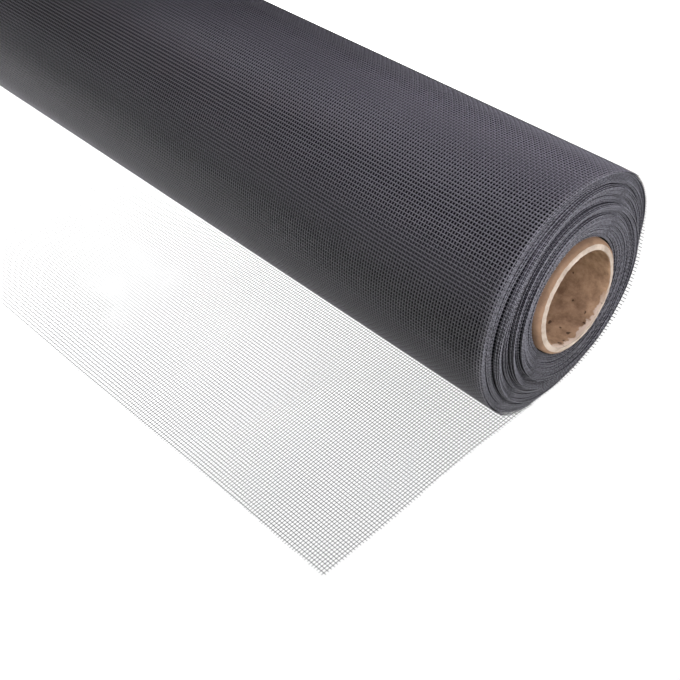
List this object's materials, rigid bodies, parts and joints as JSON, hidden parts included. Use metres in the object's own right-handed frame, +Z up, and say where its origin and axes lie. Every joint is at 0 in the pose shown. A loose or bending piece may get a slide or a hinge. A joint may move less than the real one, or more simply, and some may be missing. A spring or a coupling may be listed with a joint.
{
  "type": "roll of insect screen",
  "caption": "Roll of fine charcoal insect screen on a cardboard core, its outer turn a little slack and its loose end flat on the floor.",
  "frame": {"origin": "on the floor under the roll's axis, halfway along the width of the cloth", "axes": "+Z up, +X along the roll towards its uneven near end, -Y towards the cut edge of the loose end"},
  "size_m": [1.0142, 0.1922, 0.1081],
  "materials": {
    "core_cardboard": "matt brown spiral-wound board with a pale torn cut end",
    "screen_mesh": "charcoal vinyl-coated fibreglass yarn in an open plain weave, softly shining"
  },
  "bodies": {
    "root": {"core_tube": "core_cardboard", "wound_screen": "screen_mesh", "loose_end": "screen_mesh"}
  },
  "joints": []
}
